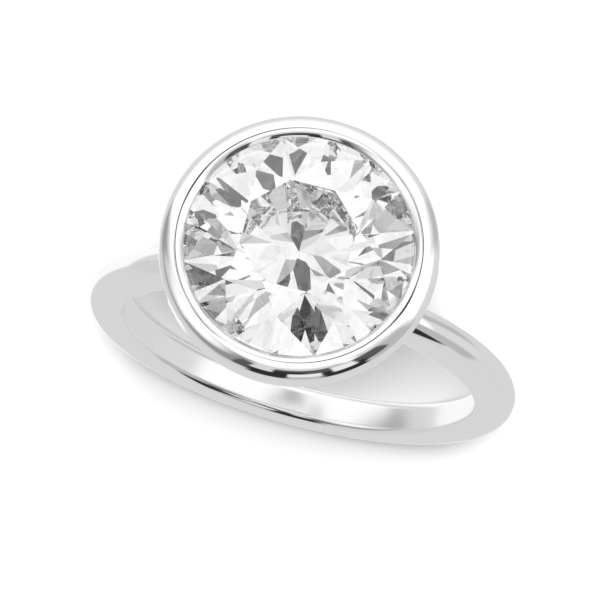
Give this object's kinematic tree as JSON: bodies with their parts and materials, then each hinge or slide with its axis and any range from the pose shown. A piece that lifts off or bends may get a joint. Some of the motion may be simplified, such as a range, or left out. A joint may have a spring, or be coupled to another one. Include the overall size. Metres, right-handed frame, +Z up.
{
  "type": "bezel set ring",
  "caption": "Solitaire finger ring: a slim half round polished band carries a deep tapered cup whose rounded bezel rim holds a round brilliant cut clear stone.",
  "frame": {"origin": "on the resting surface, under the middle of the ring's bounding box as it lies on its side", "axes": "+Z up; -Y is the way the stone faces, seen from above; X runs across the finger hole"},
  "size_m": [0.0206, 0.0264, 0.0126],
  "materials": {
    "polished_white_metal": "mirror polished",
    "clear_stone": "polished facets"
  },
  "bodies": {
    "root": {"band_and_bezel": "polished_white_metal", "stone": "clear_stone"}
  },
  "joints": []
}
